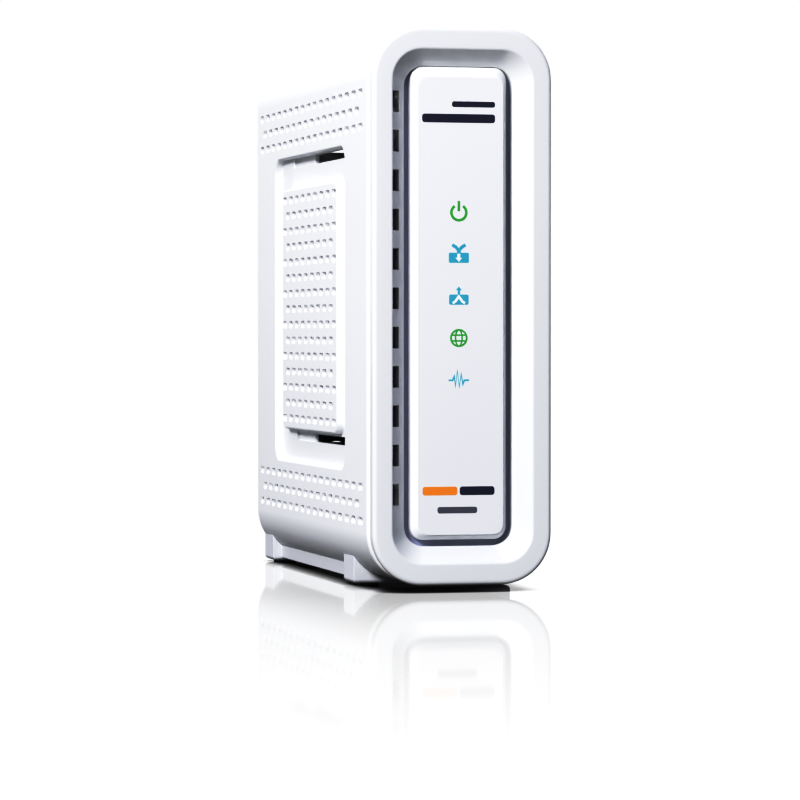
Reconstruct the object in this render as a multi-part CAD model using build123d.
from build123d import *
import os

# A free-standing cable modem: two moulded side covers joined on the centre plane, a framed
# front with a raised indicator panel, a rear connector panel, and a stand underneath.
# Millimetres. +X is to the right seen from the front, the front faces -Y, +Z is up.
# The origin lies on the table, under the middle of the whole object.
# A "depth" is measured back from the front face of the bezel.

# ---- overall sizes -------------------------------------------------------------------
case_height = 132.0          # table to top of bezel
case_width = 43.2            # across the bezel
case_depth = 132.0           # bezel face to the rear edge of the covers
coax_reach = 9.0             # coax connector beyond the rear edge of the covers

front_y = -(case_depth + coax_reach) / 2

# ---- clearances ----------------------------------------------------------------------
slip = 0.15                  # moulded parts that slide together
seat = 0.02                  # pieces pressed or screwed into a bore
running = 0.06               # reset plunger in its guide
cutout_slip = 0.25           # connector in its cut-out in the rear panel

# ---- bezel ---------------------------------------------------------------------------
bezel_lift = 1.7             # lower edge above the table
bezel_corner_r = 12.0
rim_side = 4.6               # flat rim, left and right
rim_end = 5.05               # flat rim, top and bottom
flange_thickness = 2.2
flange_front_r = 0.9
flange_back_r = 0.4
neck_inset = 0.7             # groove between bezel flange and covers
groove_width = 4.2
funnel_run = 3.9             # slope, measured across the face
funnel_depth = 4.3           # slope, measured into the case
opening_corner_r = 7.4
hole_corner_r = 3.8
spigot_wall = 1.5
spigot_length = 7.6
stake_r = 1.0                # heat stakes that hold the panel carrier
stake_x = 8.0
stake_from_hole = 1.9        # stake centre above or below the hole

bezel_height = case_height - bezel_lift
bezel_mid_z = bezel_lift + bezel_height / 2
cover_front = flange_thickness + groove_width

# ---- air slots in the left slope of the bezel ----------------------------------------
slot_pitch = 9.16
slot_height = 5.0
slot_inner_run = 2.1         # how far a slot reaches down the slope, across the face
slot_from_edge = 0.15        # land between the rim and a slot
top_slot_below_hole = 8.5    # top slot's centre below the top of the hole
last_slot_above_hole = 12.0   # least height of the lowest slot's centre above the hole's bottom

# ---- front panel ---------------------------------------------------------------------
panel_gap = 1.5              # dark gap at left, right and bottom
panel_top_gap = 0.1          # at the top the panel's ramp meets the bezel
panel_face_depth = 2.3       # raised face, behind the bezel face
panel_bevel = 1.05           # bevel, measured across the face
panel_top_bevel = 2.2        # the ramp at the top is wider
panel_bevel_depth = 3.3
panel_base_r = 3.0
panel_face_r = 2.5
face_skin = 0.8              # panel material left in front of each light guide
overlay_inset = 0.2
overlay_thickness = 0.15
overlay_corner_r = 2.3
carrier_thickness = 1.6
carrier_lap = 1.5            # carrier beyond the hole, left and right
carrier_end_lap = 3.6        # carrier beyond the hole, top and bottom

# ---- indicators ----------------------------------------------------------------------
indicator_count = 5
indicator_pitch = 9.9
top_indicator_z = 89.2
guide_r = 2.0
guide_rail_thickness = 1.8
guide_rail_gap = 0.3         # rail behind the carrier
guide_rail_reach = 1.0       # rail beyond the rods
guide_tail_r = 1.1
guide_led_gap = 0.25

# ---- covers --------------------------------------------------------------------------
cover_inset = 0.2            # covers stand back from the bezel's outline
cover_wall = 2.0
cover_edge_r = 1.5
seam_gap = 0.1
tongue_width = 2.4
tongue_root = 3.5
tongue_thickness = 1.2

cover_width = case_width - 2 * cover_inset
cover_height = bezel_height - 2 * cover_inset
cover_corner_r = bezel_corner_r - cover_inset
cover_side = cover_width / 2
cover_bottom = bezel_lift + cover_inset
cover_top = case_height - cover_inset

# ---- side recess and raised vent field -----------------------------------------------
recess_front = 29.9          # depth of the recess's front wall
recess_from_rear = 23.4      # recess's rear wall to the rear edge of the covers
recess_above_bottom = 26.1   # recess above the bottom of the covers
recess_below_top = 26.3      # recess below the top of the covers
recess_depth = 1.9
recess_corner_r = 4.5
channel_front = 8.1          # channel between recess wall and raised field
channel_rear = 8.7
channel_top = 7.9
channel_bottom = 8.1
field_corner_r = 3.5
recess_edge_r = 0.6
recess_floor = 1.7
top_slot_height = 2.4
top_slot_length = 42.7
top_slot_pocket = 21.7       # shallow blind end of the slot
bottom_slot_height = 2.1
bottom_slot_length = 43.8
bottom_slot_pocket = 16.5
bottom_slot_drop = 0.7       # slot below the raised field
slot_end_depth = 0.6

recess_length = case_depth - recess_from_rear - recess_front
recess_low = cover_bottom + recess_above_bottom
recess_height = cover_top - recess_below_top - recess_low

# ---- vent holes ----------------------------------------------------------------------
vent_length = 4.5
vent_height = 1.9
vent_pitch = 6.94
row_pitch = 4.05
field_row_pitch = 3.99
band_rows = 3
band_margin = 7.2            # least room at the ends of the top and bottom bands
field_margin = 3.0           # least room at the ends of the rows of the raised field
field_end_margin = 2.75      # least room above and below those rows
top_band_margin = 14.5       # highest row's centre below the top of the covers
bottom_band_margin = 14.4    # lowest row's centre above the bottom of the covers

# ---- rear panel ----------------------------------------------------------------------
rear_panel_thickness = 2.0
rear_panel_inset = 0.5
rear_ledge_width = 1.2
rear_ledge_thickness = 1.4
rear_vent_count = 4
rear_vent_length = 22.0
rear_vent_height = 1.8
rear_vent_pitch = 3.6
rear_vent_below_top = 11.0

rear_face = case_depth - rear_panel_inset
rear_panel_front = rear_face - rear_panel_thickness

# ---- screws --------------------------------------------------------------------------
boss_r = 3.2
screw_r = 1.25
screw_head_r = 2.2
screw_head_height = 1.6
screw_slip = 0.3
rear_screw_from_side = 7.4   # screw's centre inside the covers' side
rear_screw_rise = 3.0        # boss centre inside the cover's inner surface
rear_screw_length = 10.0
rear_boss_length = 12.0
rear_head_sink = 0.9
driver_slot_width = 0.8
driver_slot_depth = 0.7

rear_screw_x = cover_side - rear_screw_from_side

# ---- stand ---------------------------------------------------------------------------
foot_front = 28.3            # depth of the front foot's front face
foot_length = 10.4
foot_rear_from_back = 1.5    # rear foot's rear face, in front of the cover's rear edge
foot_inset = 2.1             # feet inside the bezel's sides
foot_top = 8.2
foot_edge_r = 1.0
rail_inset = 4.4             # rails inside the bezel's sides
rail_width = 2.2
rail_lift = 1.3
stand_gap = 0.05
pad_proud = 0.5
pad_sink = 0.6
pad_length = 7.0
pad_width = 5.0
pad_inset = 6.4              # pad centres inside the bezel's sides
clip_x = 6.0
clip_thickness = 1.6
clip_length = 4.0
clip_barb = 1.0
clip_barb_height = 1.4
clip_slip = 0.2

foot_half_width = case_width / 2 - foot_inset
rail_outer_x = case_width / 2 - rail_inset
pad_x = case_width / 2 - pad_inset

# ---- rating label --------------------------------------------------------------------
label_width = 18.0
label_length = 48.0
label_thickness = 0.1
label_gap = 0.05

# ---- main board ----------------------------------------------------------------------
board_x = 6.7                # component face of the board
board_thickness = 1.6
board_front = 17.5
board_rear_gap = 3.5         # board to the rear panel
board_end_gap = 3.6          # board to the covers, top and bottom
board_screw_from_front = 7.0
board_screw_from_rear = 12.0
board_screw_from_end = 3.6
board_screw_length = 8.0

board_rear = rear_panel_front - board_rear_gap
board_low = cover_bottom + cover_wall + board_end_gap
board_high = cover_top - cover_wall - board_end_gap

# ---- status lamps --------------------------------------------------------------------
led_width = 2.0
led_height = 2.6
led_inset = 0.4              # lamp behind the board's front edge
led_length = 1.6

# ---- ethernet jack -------------------------------------------------------------------
jack_z = 98.0
jack_width = 16.0
jack_height = 13.4
jack_length = 21.0
jack_shell = 0.3
plug_width = 11.9
plug_height = 8.2
plug_depth = 13.0
latch_width = 6.2
latch_height = 2.6
plug_from_board = 2.6        # housing between board side and plug cavity
contact_count = 8
contact_pitch = 1.02
contact_width = 0.45
contact_thickness = 0.3
contact_drop = 1.0           # the contacts' free ends reach into the cavity
contact_mouth_gap = 3.5

# ---- coax connector ------------------------------------------------------------------
coax_z = 58.0
coax_thread_r = 4.76
coax_root_relief = 0.36      # plain root under the nut, inside the thread's crest
coax_body_r = 5.6
coax_bore_r = 3.6
coax_chamfer = 0.35
coax_hole_slip = 0.2         # panel hole round the thread
washer_r = 7.0
washer_thickness = 0.5
nut_flats = 11.1
nut_thickness = 2.2
insulator_recess = 0.6
contact_hole_r = 0.55
coax_contact_r = 1.2
coax_contact_recess = 0.5
coax_tail_length = 2.0     # contact's tail inside the tuner shield

coax_root_r = coax_thread_r - coax_root_relief
coax_hole_r = coax_thread_r + coax_hole_slip

# ---- power jack ----------------------------------------------------------------------
power_z = 27.0
power_body_width = 9.0
power_body_height = 4.6      # body beyond the axis, away from the board
power_body_length = 13.0
power_nose_r = 4.5
power_bore_r = 3.1
power_bore_depth = 10.0
power_pin_r = 1.05
power_pin_length = 8.5       # pin inside the bore
power_pin_seat = 2.0         # pin's root in the body
power_face_inset = 0.3

# ---- reset switch --------------------------------------------------------------------
reset_z = 80.5
reset_from_board = 3.4
reset_size = 6.4
reset_body_length = 4.6
reset_plunger_r = 1.6
reset_collar_step = 0.7      # collar beyond the plunger
reset_collar_length = 1.0
reset_travel = 0.3
reset_end_gap = 0.05         # collar to the housing at each end of the travel
reset_guide_length = 1.2
reset_tip_inset = 1.2        # tip behind the panel's outer face
reset_hole_slip = 0.4        # panel hole round the plunger
reset_body_gap = 9.0         # switch in front of the rear panel's outer face

reset_collar_r = reset_plunger_r + reset_collar_step
reset_hole_r = reset_plunger_r + reset_hole_slip

# ---- circuitry -----------------------------------------------------------------------
chip_depth = 62.0
chip_z = 66.0
modem_chip_size = 23.0
modem_chip_height = 1.6
pad_thickness = 0.5
pad_margin = 1.0             # thermal pad inside the chip's edges
heatsink_size = 38.0
heatsink_base = 2.0
fin_height = 7.5
fin_count = 9
fin_thickness = 1.2
shield_front = 88.0
shield_end_gap = 11.5        # shield to the rear panel
shield_width = 28.0
shield_height = 12.6
shield_wall = 0.4
lid_rim = 2.5
lid_hole_r = 1.0
can_r = 4.0                  # electrolytic capacitors
can_height = 10.5
can_groove_at = 2.2          # groove above the board
can_groove_width = 0.8
can_groove_depth = 0.35
inductor_size = 11.0
inductor_base = 1.5
inductor_drum = 5.0
inductor_drum_step = 0.5     # drum inside the base's sides

# depth and Z on the board, then length, width and height of each rectangular component
components = {
    "modem_chip": (chip_depth, chip_z, modem_chip_size, modem_chip_size, modem_chip_height),
    "memory_chip": (32.5, 66.0, 10.0, 18.0, 1.2),
    "flash_chip": (31.5, 40.0, 6.0, 8.0, 1.8),
    "crystal": (62.0, 96.0, 11.0, 4.6, 3.4),
    "ethernet_magnetics": (98.8, 98.0, 13.0, 17.0, 6.0),
    "regulator_chip": (70.0, 27.0, 7.0, 6.6, 1.7),
    "tuner_chip": (96.0, 58.0, 8.0, 8.0, 1.0),
}
capacitor_places = ((98.0, 21.0), (98.0, 32.0), (57.0, 27.0))
inductor_place = (84.0, 27.0)

# small chip parts: length, width, height, and the rows' first depth, Z and count
chip_part_size = (1.6, 0.9, 0.8)
chip_part_pitch = 3.4
chip_part_rows = ((43.0, 88.0, 9), (43.0, 44.0, 9), (25.5, 88.0, 4), (90.0, 40.0, 6))


# ---- placing helpers -----------------------------------------------------------------
def block(x0, x1, depth0, depth1, z0, z1):
    """A box between two X, two depths and two heights."""
    size = (abs(x1 - x0), abs(depth1 - depth0), abs(z1 - z0))
    middle = ((x0 + x1) / 2, front_y + (depth0 + depth1) / 2, (z0 + z1) / 2)
    return Pos(*middle) * Box(*size)


def through(sketch, depth0, depth1):
    """Carry an outline drawn in X and Z from one depth to the other."""
    plane = Plane(origin=(0, front_y + depth1, 0), x_dir=(1, 0, 0), z_dir=(0, -1, 0))
    return extrude(plane * sketch, amount=depth1 - depth0)


def sideways(sketch, x0, x1):
    """Carry an outline drawn in depth and Z from one X to the other."""
    plane = Plane(origin=(x0, front_y, 0), x_dir=(0, 1, 0), z_dir=(1, 0, 0))
    return extrude(plane * sketch, amount=x1 - x0)


def rod(radius, x, z, depth0, depth1):
    """A round bar that runs front to back."""
    return through(Pos(x, z) * Circle(radius), depth0, depth1)


def cross_rod(radius, depth, z, x0, x1):
    """A round bar that runs left to right."""
    return sideways(Pos(depth, z) * Circle(radius), x0, x1)


def fitting(room, pitch):
    """How many evenly pitched places fit in a length, ends included."""
    return int(room / pitch) + 1


def write(name, *solids):
    """Write one node's solids."""
    shape = solids[0] if len(solids) == 1 else Compound(list(solids))
    export_step(shape, f"parts/{name}.step")


# ---- shared outlines -----------------------------------------------------------------
def cover_outline(inset):
    """The covers' section, set in from their outer surface."""
    size = (cover_width - 2 * inset, cover_height - 2 * inset)
    middle = (cover_bottom + cover_top) / 2
    return Pos(0, middle) * RectangleRounded(*size, cover_corner_r - inset)


def bezel_opening(run):
    """The bezel's opening after a given run down its slope."""
    width = case_width - 2 * rim_side - 2 * run
    height = bezel_height - 2 * rim_end - 2 * run
    corner = opening_corner_r + (hole_corner_r - opening_corner_r) * run / funnel_run
    return Pos(0, bezel_mid_z) * RectangleRounded(width, height, corner)


hole_half_width = case_width / 2 - rim_side - funnel_run
hole_low = bezel_lift + rim_end + funnel_run
hole_high = case_height - rim_end - funnel_run
stake_heights = (hole_low - stake_from_hole, hole_high + stake_from_hole)
stake_places = [(x, z) for x in (-stake_x, stake_x) for z in stake_heights]
indicator_heights = [top_indicator_z - i * indicator_pitch for i in range(indicator_count)]


# ---- front ---------------------------------------------------------------------------
def make_front_bezel():
    """Flange, neck and spigot in one moulding, with the sloped opening and its air slots."""
    flange_outline = Pos(0, bezel_mid_z) * RectangleRounded(case_width, bezel_height, bezel_corner_r)
    flange = through(flange_outline, 0, flange_thickness)
    flange = fillet(flange.faces().sort_by(Axis.Y)[0].edges(), flange_front_r)
    flange = fillet(flange.faces().sort_by(Axis.Y)[-1].edges(), flange_back_r)
    neck = through(cover_outline(neck_inset - cover_inset), flange_thickness, cover_front)
    spigot_inset = cover_wall + slip
    spigot_section = cover_outline(spigot_inset) - cover_outline(spigot_inset + spigot_wall)
    spigot = through(spigot_section, cover_front, cover_front + spigot_length)
    funnel = loft([
        Plane(origin=(0, front_y + d, 0), x_dir=(1, 0, 0), z_dir=(0, -1, 0)) * bezel_opening(run)
        for run, d in ((0, 0), (funnel_run, funnel_depth))
    ], ruled=True)
    hole = through(bezel_opening(funnel_run), funnel_depth, cover_front)
    bezel = flange + neck + spigot - (funnel + hole)
    left_edge = -case_width / 2 + rim_side
    slots = []
    slot_room = hole_high - top_slot_below_hole - hole_low - last_slot_above_hole
    for i in range(fitting(slot_room, slot_pitch)):
        middle = hole_high - top_slot_below_hole - i * slot_pitch
        x0 = left_edge + slot_from_edge
        x1 = left_edge + slot_inner_run
        slots.append(block(x0, x1, 0, cover_front, middle - slot_height / 2, middle + slot_height / 2))
    stakes = [
        rod(stake_r, x, z, cover_front, cover_front + carrier_thickness)
        for x, z in stake_places
    ]
    return bezel - slots + stakes


def make_panel_carrier():
    """Dark plate behind the bezel's hole that the panel and the light guide sit on."""
    width = 2 * (hole_half_width + carrier_lap)
    height = hole_high - hole_low + 2 * carrier_end_lap
    outline = Pos(0, (hole_low + hole_high) / 2) * RectangleRounded(width, height, hole_corner_r)
    plate = through(outline, cover_front, cover_front + carrier_thickness)
    back = cover_front + carrier_thickness
    holes = [rod(stake_r + seat, x, z, cover_front, back) for x, z in stake_places]
    holes += [rod(guide_r + slip, 0, z, cover_front, back) for z in indicator_heights]
    return plate - holes


def panel_outline(inset, top_inset, corner):
    """The front panel's outline, set in from its base; the top is set in by its own amount."""
    half = hole_half_width - panel_gap - inset
    low = hole_low + panel_gap + inset
    high = hole_high - panel_top_gap - top_inset
    return Pos(0, (low + high) / 2) * RectangleRounded(2 * half, high - low, corner)


def make_front_panel():
    """White slab with bevelled edges; blind holes behind the indicators take the light guide."""
    base_depth = panel_face_depth + panel_bevel_depth
    face = panel_outline(panel_bevel, panel_top_bevel, panel_face_r)
    base = panel_outline(0, 0, panel_base_r)
    bevelled = loft([
        Plane(origin=(0, front_y + d, 0), x_dir=(1, 0, 0), z_dir=(0, -1, 0)) * outline
        for outline, d in ((face, panel_face_depth), (base, base_depth))
    ], ruled=True)
    slab = bevelled + through(base, base_depth, cover_front)
    holes = [
        rod(guide_r + slip, 0, z, panel_face_depth + face_skin, cover_front)
        for z in indicator_heights
    ]
    return slab - holes


def make_indicator_overlay():
    """Thin printed film on the panel's face."""
    inset = panel_bevel + overlay_inset
    top_inset = panel_top_bevel + overlay_inset
    film = panel_outline(inset, top_inset, overlay_corner_r)
    return through(film, panel_face_depth - overlay_thickness, panel_face_depth)


def make_light_guide():
    """One clear moulding: a rod to each indicator, a rail, and a tail to each lamp."""
    rail_front = cover_front + carrier_thickness + guide_rail_gap
    rail_back = rail_front + guide_rail_thickness
    tail_x = board_x - led_height / 2
    rail_half = guide_r + guide_rail_reach
    low = indicator_heights[-1] - rail_half
    high = indicator_heights[0] + rail_half
    rail = block(-rail_half, tail_x + guide_tail_r, rail_front, rail_back, low, high)
    rods = [
        rod(guide_r, 0, z, panel_face_depth + face_skin + guide_rail_gap, rail_front)
        for z in indicator_heights
    ]
    tails = [
        rod(guide_tail_r, tail_x, z, rail_back, board_front + led_inset - guide_led_gap)
        for z in indicator_heights
    ]
    return rail + rods + tails


# ---- covers --------------------------------------------------------------------------
def vent_sketch(depth, z):
    return Pos(depth, z) * SlotOverall(vent_length, vent_height)


def vent_field(first_depth, first_z, pitch_z, long_count, rows):
    """Staggered rows: the odd rows have one hole fewer and are shifted by half a pitch."""
    holes = []
    for row in range(rows):
        short = row % 2
        for i in range(long_count - short):
            depth = first_depth + (i + short / 2) * vent_pitch
            holes.append(vent_sketch(depth, first_z + row * pitch_z))
    return holes


def recess_outline(margin, corner):
    length = recess_length + 2 * margin
    height = recess_height + 2 * margin
    middle = (recess_front + recess_length / 2, recess_low + recess_height / 2)
    return Pos(*middle) * RectangleRounded(length, height, corner)


def field_outline(inset, corner):
    """The raised vent field inside the recess."""
    front = recess_front + channel_front + inset
    rear = recess_front + recess_length - channel_rear - inset
    low = recess_low + channel_bottom + inset
    high = recess_low + recess_height - channel_top - inset
    return Pos((front + rear) / 2, (low + high) / 2) * RectangleRounded(rear - front, high - low, corner)


def make_cover_half():
    """The left half, without what is on one side only."""
    outer = through(cover_outline(0), cover_front, case_depth)
    ends = outer.faces().sort_by(Axis.Y)
    outer = fillet(ends[0].edges() + ends[-1].edges(), cover_edge_r)
    shell = outer - through(cover_outline(cover_wall), cover_front, case_depth)
    half_space = block(-case_width, -seam_gap / 2, 0, case_depth, 0, case_height)
    shell = shell & half_space

    # thicker wall behind the recess, then the channel round the raised field
    tub_inner = -cover_side + recess_depth + recess_floor
    tub = sideways(recess_outline(recess_floor, recess_corner_r), -cover_side + cover_wall / 2, tub_inner)
    channel = recess_outline(0, recess_corner_r) - field_outline(0, field_corner_r)
    shell = shell + tub - sideways(channel, -cover_side, -cover_side + recess_depth)
    side_faces = [f for f in shell.faces().filter_by(Axis.X) if abs(f.center().X + cover_side) < seat]
    side_faces.sort(key=lambda f: f.bounding_box().size.Z)
    rims = side_faces[0].outer_wire().edges() + side_faces[-1].inner_wires()[0].edges()
    shell = fillet(rims, recess_edge_r)
    pocket = sideways(field_outline(cover_wall, field_corner_r / 2), -cover_side + cover_wall, tub_inner)
    return shell - pocket - vent_cutters() - long_slot_cutters()


def vent_cutters():
    """All the vent holes of one side, centred between the ends of their bands and of the raised field."""
    band_length = case_depth - cover_front
    band_count = fitting(band_length - 2 * band_margin, vent_pitch)
    band_first = cover_front + (band_length - (band_count - 1) * vent_pitch) / 2
    top_first = cover_top - top_band_margin - (band_rows - 1) * row_pitch
    bottom_first = cover_bottom + bottom_band_margin

    field_front = recess_front + channel_front
    field_length = recess_length - channel_front - channel_rear
    field_low = recess_low + channel_bottom
    field_height = recess_height - channel_bottom - channel_top
    field_count = fitting(field_length - 2 * field_margin, vent_pitch)
    field_rows = fitting(field_height - 2 * field_end_margin, field_row_pitch)
    first_depth = field_front + (field_length - (field_count - 1) * vent_pitch) / 2
    first_z = field_low + (field_height - (field_rows - 1) * field_row_pitch) / 2

    holes = vent_field(band_first, top_first, row_pitch, band_count, band_rows)
    holes += vent_field(band_first, bottom_first, row_pitch, band_count, band_rows)
    holes += vent_field(first_depth, first_z, field_row_pitch, field_count, field_rows)
    return [sideways(hole, -cover_side, -cover_side + cover_wall) for hole in holes]


def long_slot_cutters():
    """Two long air slots in the channel's floor, each with a shallow blind end."""
    floor = -cover_side + recess_depth
    start = recess_front + recess_edge_r
    top_z = recess_low + recess_height
    bottom_z = recess_low + channel_bottom - bottom_slot_drop
    slots = (
        (top_z, top_slot_height, top_slot_length, top_slot_pocket),
        (bottom_z, bottom_slot_height, bottom_slot_length, bottom_slot_pocket),
    )
    cutters = []
    for high, height, length, pocket in slots:
        end = recess_front + length
        cutters.append(block(floor, floor + recess_floor, start, end, high - height, high))
        cutters.append(block(floor, floor + slot_end_depth, end, end + pocket, high - height, high))
    return cutters


def clip_slots(side):
    """Holes in the bottom of a cover for the stand's clips."""
    x0 = side * (clip_x - clip_thickness / 2 - clip_slip)
    x1 = side * (clip_x + clip_thickness / 2 + clip_slip)
    half = clip_length / 2 + clip_slip
    return [
        block(x0, x1, middle - half, middle + half, cover_bottom, cover_bottom + cover_wall)
        for middle in foot_middles
    ]


def rear_ledge(side):
    """Ledge inside a cover that the rear panel stops against."""
    section = cover_outline(cover_wall / 2) - cover_outline(cover_wall + rear_ledge_width)
    ledge = through(section, rear_panel_front - rear_ledge_thickness, rear_panel_front)
    x0, x1 = sorted((side * case_width, side * seam_gap / 2))
    return ledge & block(x0, x1, 0, case_depth, 0, case_height)


def rear_screw_place(side):
    """X and Z of a rear screw: high on the left cover, low on the right one."""
    corner_x = cover_side - cover_corner_r
    inner_r = cover_corner_r - cover_wall
    rise = (inner_r ** 2 - (rear_screw_x - corner_x) ** 2) ** 0.5
    if side < 0:
        return (-rear_screw_x, cover_top - cover_corner_r + rise - rear_screw_rise)
    return (rear_screw_x, cover_bottom + cover_corner_r - rise + rear_screw_rise)


def rear_boss(side):
    """Boss for a rear screw, joined to the cover's wall, and its pilot hole."""
    x, z = rear_screw_place(side)
    start = rear_panel_front - rear_boss_length
    boss = rod(boss_r, x, z, start, rear_panel_front)
    boss = boss & through(cover_outline(cover_wall / 2), start, rear_panel_front)
    return boss, rod(screw_r + seat, x, z, start, rear_panel_front)


def make_left_cover(half):
    tongues = []
    for inner_z, into in ((cover_top - cover_wall, -1), (cover_bottom + cover_wall, 1)):
        start = cover_front + spigot_length + slip
        end = rear_panel_front - rear_ledge_thickness - slip
        near, far = inner_z + into * slip / 2, inner_z + into * tongue_thickness
        tongues.append(block(-tongue_root, tongue_width, start, end, *sorted((near, far))))
        root = sorted((inner_z - into * slip, far))
        tongues.append(block(-tongue_root, -tongue_root / 2, start, end, *root))
    boss, pilot = rear_boss(-1)
    cover = half + tongues + rear_ledge(-1) + boss
    return cover - pilot - clip_slots(-1)


def board_screw_places():
    """Depth and Z of the four screws that hold the board."""
    depths = (board_front + board_screw_from_front, board_rear - board_screw_from_rear)
    heights = (board_low + board_screw_from_end, board_high - board_screw_from_end)
    return [(depth, z) for depth in depths for z in heights]


def make_right_cover(half):
    boss, pilot = rear_boss(1)
    back_x = board_x + board_thickness
    filled = through(cover_outline(cover_wall / 2), cover_front, case_depth)
    posts = [cross_rod(boss_r, depth, z, back_x, cover_side) & filled for depth, z in board_screw_places()]
    pilots = [
        cross_rod(screw_r + seat, depth, z, back_x, board_x + board_screw_length + slip)
        for depth, z in board_screw_places()
    ]
    cover = mirror(half, about=Plane.YZ) + rear_ledge(1) + boss + posts
    return cover - pilot - pilots - clip_slots(1)


# ---- rear ----------------------------------------------------------------------------
def make_rear_panel():
    """Plate with the connector cut-outs, the reset hole and air slots."""
    plate = through(cover_outline(cover_wall + slip), rear_panel_front, rear_face)
    jack_low = board_x - jack_height
    cuts = [
        block(jack_low - cutout_slip, board_x + cutout_slip, rear_panel_front, rear_face,
              jack_z - jack_width / 2 - cutout_slip, jack_z + jack_width / 2 + cutout_slip),
        rod(coax_hole_r, 0, coax_z, rear_panel_front, rear_face),
        rod(power_nose_r + cutout_slip, 0, power_z, rear_panel_front, rear_face),
        rod(reset_hole_r, board_x - reset_from_board, reset_z, rear_panel_front, rear_face),
    ]
    for i in range(rear_vent_count):
        z = cover_top - rear_vent_below_top - i * rear_vent_pitch
        cuts.append(through(Pos(0, z) * SlotOverall(rear_vent_length, rear_vent_height),
                            rear_panel_front, rear_face))
    for side in (-1, 1):
        x, z = rear_screw_place(side)
        cuts.append(rod(screw_r + screw_slip, x, z, rear_panel_front, rear_face))
        cuts.append(rod(screw_head_r + screw_slip, x, z, rear_face - rear_head_sink, rear_face))
    return plate - cuts


def make_rear_screw(side):
    x, z = rear_screw_place(side)
    seat_depth = rear_face - rear_head_sink
    head = rod(screw_head_r, x, z, seat_depth, seat_depth + screw_head_height)
    shank = rod(screw_r, x, z, seat_depth - rear_screw_length, seat_depth)
    top = seat_depth + screw_head_height
    cross = [
        block(x - screw_r, x + screw_r, top - driver_slot_depth, top,
              z - driver_slot_width / 2, z + driver_slot_width / 2),
        block(x - driver_slot_width / 2, x + driver_slot_width / 2, top - driver_slot_depth, top,
              z - screw_r, z + screw_r),
    ]
    return head + shank - cross


# ---- stand ---------------------------------------------------------------------------
foot_rear = case_depth - foot_rear_from_back - foot_length
foot_starts = (foot_front, foot_rear)
foot_middles = tuple(start + foot_length / 2 for start in foot_starts)


def make_stand_base():
    """Two cross feet shaped to the body, two rails between them, and four clips."""
    feet = []
    for start in foot_starts:
        foot = block(-foot_half_width, foot_half_width, start, start + foot_length, pad_proud, foot_top)
        low_edges = foot.faces().sort_by(Axis.Z)[0].edges()
        feet.append(fillet(low_edges, foot_edge_r))
    rails = [
        block(side * (rail_outer_x - rail_width), side * rail_outer_x,
              foot_front + foot_length, foot_rear, rail_lift, foot_top)
        for side in (-1, 1)
    ]
    body = through(cover_outline(-stand_gap), 0, case_depth)
    base = feet[0] + feet[1] + rails - body
    wall_top = cover_bottom + cover_wall
    for side in (-1, 1):
        for middle in foot_middles:
            x0 = side * (clip_x - clip_thickness / 2)
            x1 = side * (clip_x + clip_thickness / 2)
            x2 = side * (clip_x + clip_thickness / 2 + clip_barb)
            d0, d1 = middle - clip_length / 2, middle + clip_length / 2
            barb_low = wall_top + stand_gap
            barb_high = barb_low + clip_barb_height
            base += block(x0, x1, d0, d1, cover_bottom - stand_gap, barb_high)
            base += block(x0, x2, d0, d1, barb_low, barb_high)
    recesses = [pad_block(side, middle, slip) for side in (-1, 1) for middle in foot_middles]
    return base - recesses


def pad_block(side, middle, margin):
    """A foot pad, or with a margin the recess that it is glued into."""
    half_x, half_d = pad_width / 2 + margin, pad_length / 2 + margin
    x = side * pad_x
    return block(x - half_x, x + half_x, middle - half_d, middle + half_d, 0, pad_proud + pad_sink)


def make_foot_pads():
    pads = [pad_block(side, middle, 0) for side in (-1, 1) for middle in foot_middles]
    return [fillet(pad.edges().filter_by(Axis.Z), pad_width / 5) for pad in pads]


def make_rating_label():
    """Blank label under the body, between the rails."""
    start = (case_depth - label_length) / 2
    top = cover_bottom - label_gap
    return block(-label_width / 2, label_width / 2, start, start + label_length, top - label_thickness, top)


# ---- main board ----------------------------------------------------------------------
def make_main_board():
    board = block(board_x, board_x + board_thickness, board_front, board_rear, board_low, board_high)
    board = fillet(board.edges().filter_by(Axis.X), boss_r / 2)
    holes = [
        cross_rod(screw_r + screw_slip, depth, z, board_x, board_x + board_thickness)
        for depth, z in board_screw_places()
    ]
    return board - holes


def make_board_screw(depth, z):
    head = cross_rod(screw_head_r, depth, z, board_x - screw_head_height, board_x)
    shank = cross_rod(screw_r, depth, z, board_x, board_x + board_screw_length)
    outer = board_x - screw_head_height
    inner = outer + driver_slot_depth
    half = driver_slot_width / 2
    cross = [
        block(outer, inner, depth - screw_r, depth + screw_r, z - half, z + half),
        block(outer, inner, depth - half, depth + half, z - screw_r, z + screw_r),
    ]
    return head + shank - cross


def on_board(depth, z, length, width, height):
    """A rectangular component that stands on the board, centred on a depth and a Z."""
    return block(board_x - height, board_x, depth - length / 2, depth + length / 2,
                 z - width / 2, z + width / 2)


def make_status_led(z):
    start = board_front + led_inset
    body = block(board_x - led_height, board_x, start, start + led_length,
                 z - led_width / 2, z + led_width / 2)
    return chamfer(body.faces().sort_by(Axis.Y)[-1].edges().filter_by(Axis.Z), led_length / 4)


def make_heatsink():
    """Extruded plate with upright fins."""
    foot_x = board_x - modem_chip_height - pad_thickness
    half = heatsink_size / 2
    low, high = chip_z - half, chip_z + half
    sink = block(foot_x - heatsink_base, foot_x, chip_depth - half, chip_depth + half, low, high)
    step = (heatsink_size - fin_thickness) / (fin_count - 1)
    fin_foot = foot_x - heatsink_base
    for i in range(fin_count):
        start = chip_depth - half + i * step
        sink += block(fin_foot - fin_height, fin_foot, start, start + fin_thickness, low, high)
    return sink


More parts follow.
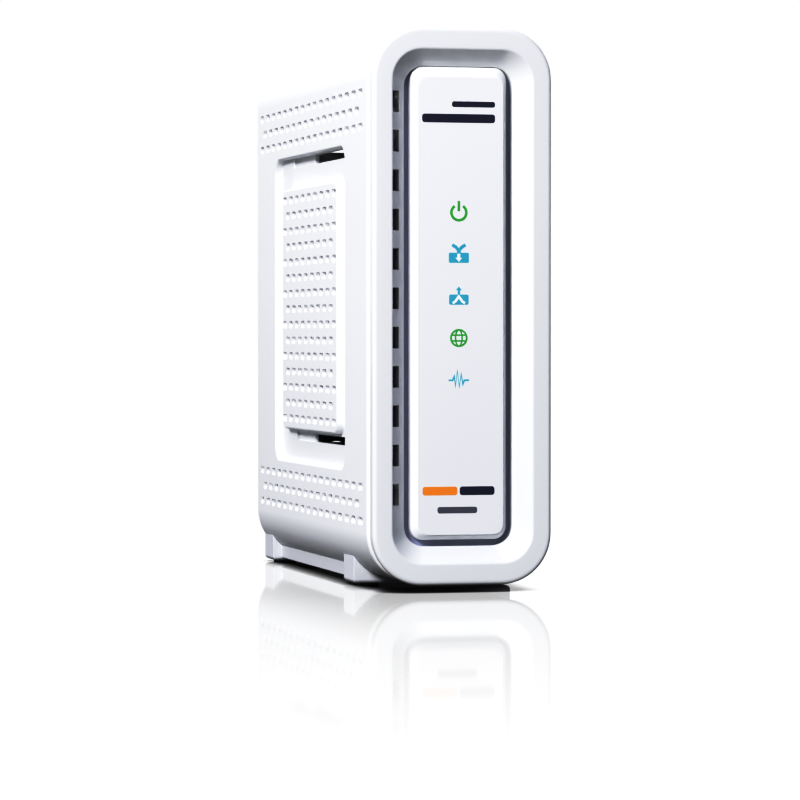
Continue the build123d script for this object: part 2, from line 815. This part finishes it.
def make_thermal_pad():
    back = board_x - modem_chip_height
    half = modem_chip_size / 2 - pad_margin
    return block(back - pad_thickness, back, chip_depth - half, chip_depth + half,
                 chip_z - half, chip_z + half)


def make_shield_frame():
    """Folded tin fence round the tuner, open towards the lid."""
    rear = rear_panel_front - shield_end_gap
    half = shield_width / 2
    low_x = board_x - shield_height
    outer = block(low_x, board_x, shield_front, rear, coax_z - half, coax_z + half)
    inner = block(low_x, board_x, shield_front + shield_wall, rear - shield_wall,
                  coax_z - half + shield_wall, coax_z + half - shield_wall)
    middle = (shield_front + rear) / 2
    divider = block(low_x, board_x, middle - shield_wall / 2, middle + shield_wall / 2,
                    coax_z - half + shield_wall / 2, coax_z + half - shield_wall / 2)
    return outer - inner + divider - rod(coax_contact_r + screw_slip, 0, coax_z, rear - shield_wall, rear)


def make_shield_lid():
    """Tin lid that closes the fence, with a rim outside it and a row of holes."""
    rear = rear_panel_front - shield_end_gap
    half = shield_width / 2
    low_x = board_x - shield_height
    out = shield_wall + seat
    cap = block(low_x - shield_wall, low_x + lid_rim, shield_front - out, rear + out,
                coax_z - half - out, coax_z + half + out)
    hollow = block(low_x, low_x + lid_rim, shield_front - seat, rear + seat,
                   coax_z - half - seat, coax_z + half + seat)
    hole_depths = [shield_front + (rear - shield_front) * share for share in (0.25, 0.5, 0.75)]
    holes = [
        cross_rod(lid_hole_r, depth, coax_z + offset, low_x - shield_wall, low_x)
        for depth in hole_depths for offset in (-half / 2, half / 2)
    ]
    return cap - hollow - holes


def make_capacitor(depth, z):
    """Electrolytic can with a groove near its foot and a scored end."""
    top = board_x - can_height
    can = cross_rod(can_r, depth, z, top, board_x)
    groove = board_x - can_groove_at
    ring = cross_rod(can_r, depth, z, groove, groove + can_groove_width)
    ring = ring - cross_rod(can_r - can_groove_depth, depth, z, groove, groove + can_groove_width)
    score = block(top, top + can_groove_depth, depth - can_r / 2, depth + can_r / 2,
                  z - can_groove_depth / 2, z + can_groove_depth / 2)
    return can - ring - score


def make_inductor(depth, z):
    """Shielded power inductor: square base with a round drum."""
    base = on_board(depth, z, inductor_size, inductor_size, inductor_base)
    drum_r = inductor_size / 2 - inductor_drum_step
    foot = board_x - inductor_base
    return base + cross_rod(drum_r, depth, z, foot - inductor_drum, foot)


def make_chip_parts():
    """Small chip capacitors and resistors in rows."""
    return [
        on_board(start + i * chip_part_pitch, z, *chip_part_size)
        for start, z, count in chip_part_rows for i in range(count)
    ]


# ---- ethernet jack -------------------------------------------------------------------
jack_rear = rear_face + 0.3
jack_front = jack_rear - jack_length
jack_far_x = board_x - jack_height
plug_x1 = board_x - plug_from_board
plug_x0 = plug_x1 - plug_height


def plug_cavity(depth0):
    """The space that the plug and its latch take, from a given depth to the mouth."""
    half = plug_width / 2
    cavity = block(plug_x0, plug_x1, depth0, jack_rear, jack_z - half, jack_z + half)
    latch = block(plug_x0 - latch_height, plug_x0, depth0, jack_rear,
                  jack_z - latch_width / 2, jack_z + latch_width / 2)
    return cavity + latch


def make_ethernet_shell():
    """Folded metal can round the housing, with the window for the plug."""
    half = jack_width / 2
    can = block(jack_far_x, board_x, jack_front, jack_rear, jack_z - half, jack_z + half)
    inside = block(jack_far_x + jack_shell, board_x, jack_front + jack_shell, jack_rear - jack_shell,
                   jack_z - half + jack_shell, jack_z + half - jack_shell)
    return can - inside - plug_cavity(jack_rear - jack_shell)


def contact_places():
    """Z of each contact."""
    first = jack_z - (contact_count - 1) / 2 * contact_pitch
    return [first + i * contact_pitch for i in range(contact_count)]


def make_ethernet_housing():
    """Plastic insert with the plug cavity and a groove for each contact."""
    half = jack_width / 2 - jack_shell - seat
    body = block(jack_far_x + jack_shell + seat, board_x - seat, jack_front + jack_shell + seat,
                 jack_rear - jack_shell - seat, jack_z - half, jack_z + half)
    body = body - plug_cavity(jack_rear - plug_depth)
    mouth = jack_rear - contact_mouth_gap
    groove_half = contact_width / 2 + slip / 2
    grooves = [
        block(plug_x1, plug_x1 + contact_thickness + slip, jack_rear - plug_depth, mouth,
              z - groove_half, z + groove_half)
        for z in contact_places()
    ]
    return body - grooves


def make_contact(z):
    """One spring contact: it lies in its groove at the back and rises into the cavity."""
    back = jack_rear - plug_depth + slip
    tip = jack_rear - contact_mouth_gap - slip
    low = plug_x1 + slip / 2
    half = contact_width / 2
    points = [
        (low + contact_thickness, tip), (low, tip), (low - contact_drop, back),
        (low - contact_drop + contact_thickness, back),
    ]
    outline = Polyline(*[(x, front_y + depth, z - half) for x, depth in points], close=True)
    return extrude(make_face(outline), amount=contact_width, dir=(0, 0, 1))


# ---- coax connector ------------------------------------------------------------------
coax_end = case_depth + coax_reach
coax_start = rear_panel_front - shield_end_gap
nut_start = rear_face + washer_thickness
nut_end = nut_start + nut_thickness


def make_coax_connector():
    """Turned body: shoulder behind the panel, threaded barrel through it."""
    shoulder = rod(coax_body_r, 0, coax_z, coax_start + shield_wall + 2 * seat, rear_panel_front)
    root = rod(coax_root_r, 0, coax_z, rear_panel_front, nut_end)
    barrel = rod(coax_thread_r, 0, coax_z, nut_end, coax_end)
    barrel = chamfer(barrel.faces().sort_by(Axis.Y)[-1].edges(), coax_chamfer)
    bore = rod(coax_bore_r, 0, coax_z, rear_panel_front, coax_end)
    tail = rod(coax_contact_r + screw_slip, 0, coax_z, coax_start, rear_panel_front)
    return shoulder + root + barrel - bore - tail


def make_coax_washer():
    start, end = rear_face, nut_start
    return rod(washer_r, 0, coax_z, start, end) - rod(coax_root_r + slip, 0, coax_z, start, end)


def make_coax_nut():
    outline = Pos(0, coax_z) * RegularPolygon(nut_flats / 2, 6, major_radius=False)
    nut = through(outline, nut_start, nut_end)
    return nut - rod(coax_root_r + 2 * seat, 0, coax_z, nut_start, nut_end)


def make_coax_insulator():
    front, back = rear_panel_front, coax_end - insulator_recess
    body = rod(coax_bore_r - seat, 0, coax_z, front, back)
    return body - rod(coax_contact_r + seat, 0, coax_z, front, back)


def make_coax_contact():
    """Sprung tube that takes the cable's centre wire, with a tail into the tuner."""
    tip = coax_end - insulator_recess - coax_contact_recess
    tail = coax_start - shield_wall - coax_tail_length
    return rod(coax_contact_r, 0, coax_z, tail, tip) - rod(contact_hole_r, 0, coax_z, rear_panel_front, tip)


# ---- power jack ----------------------------------------------------------------------
power_end = rear_face - power_face_inset
power_pin_root = power_end - power_bore_depth - power_pin_seat


def make_power_jack():
    """Moulded socket with a round nose in the rear panel."""
    half = power_body_width / 2
    body = block(-power_body_height, board_x, rear_panel_front - power_body_length, rear_panel_front,
                 power_z - half, power_z + half)
    nose = rod(power_nose_r, 0, power_z, rear_panel_front, power_end)
    bore = rod(power_bore_r, 0, power_z, power_end - power_bore_depth, power_end)
    pin_seat = rod(power_pin_r + seat, 0, power_z, power_pin_root, power_end)
    return body + nose - bore - pin_seat


def make_power_pin():
    pin = rod(power_pin_r, 0, power_z, power_pin_root, power_end - power_bore_depth + power_pin_length)
    return fillet(pin.faces().sort_by(Axis.Y)[-1].edges(), power_pin_r / 3)


# ---- reset switch --------------------------------------------------------------------
reset_x = board_x - reset_from_board
reset_front = rear_face - reset_body_gap
reset_rear = reset_front + reset_body_length
collar_rear = reset_rear - reset_guide_length - reset_end_gap


def make_reset_switch():
    """Side-push switch on the board; its guide holds the plunger's collar captive."""
    half = reset_size / 2
    body = block(reset_x - half, board_x, reset_front, reset_rear, reset_z - half, reset_z + half)
    room = reset_collar_length + reset_travel + 2 * reset_end_gap
    chamber_rear = reset_rear - reset_guide_length
    chamber = rod(reset_collar_r + slip, reset_x, reset_z, chamber_rear - room, chamber_rear)
    guide = rod(reset_plunger_r + running, reset_x, reset_z, chamber_rear, reset_rear)
    return body - chamber - guide


def make_reset_button():
    """Plunger with a collar; its tip stands behind the hole in the rear panel."""
    collar = rod(reset_collar_r, reset_x, reset_z, collar_rear - reset_collar_length, collar_rear)
    stem = rod(reset_plunger_r, reset_x, reset_z, collar_rear, rear_face - reset_tip_inset)
    stem = fillet(stem.faces().sort_by(Axis.Y)[-1].edges(), reset_plunger_r / 4)
    return collar + stem


# ---- build ---------------------------------------------------------------------------
os.makedirs("parts", exist_ok=True)

write("front_bezel", make_front_bezel())
write("panel_carrier", make_panel_carrier())
write("front_panel", make_front_panel())
write("indicator_overlay", make_indicator_overlay())
write("light_guide", make_light_guide())

cover_half = make_cover_half()
write("left_cover", make_left_cover(cover_half))
write("right_cover", make_right_cover(cover_half))
write("rear_panel", make_rear_panel())
write("rear_screws", *[make_rear_screw(side) for side in (-1, 1)])

write("stand_base", make_stand_base())
write("foot_pads", *make_foot_pads())
write("rating_label", make_rating_label())

write("main_board", make_main_board())
write("board_screws", *[make_board_screw(depth, z) for depth, z in board_screw_places()])
write("status_leds", *[make_status_led(z) for z in indicator_heights])
for component, place_and_size in components.items():
    write(component, on_board(*place_and_size))
write("thermal_pad", make_thermal_pad())
write("heatsink", make_heatsink())
write("power_inductor", make_inductor(*inductor_place))
write("electrolytic_capacitors", *[make_capacitor(*place) for place in capacitor_places])
write("chip_parts", *make_chip_parts())
write("tuner_shield", make_shield_frame())
write("tuner_shield_lid", make_shield_lid())

write("ethernet_shell", make_ethernet_shell())
write("ethernet_housing", make_ethernet_housing())
write("ethernet_contacts", *[make_contact(z) for z in contact_places()])
write("coax_connector", make_coax_connector())
write("coax_washer", make_coax_washer())
write("coax_nut", make_coax_nut())
write("coax_insulator", make_coax_insulator())
write("coax_contact", make_coax_contact())
write("power_jack", make_power_jack())
write("power_jack_pin", make_power_pin())
write("reset_switch", make_reset_switch())
write("reset_button", make_reset_button())
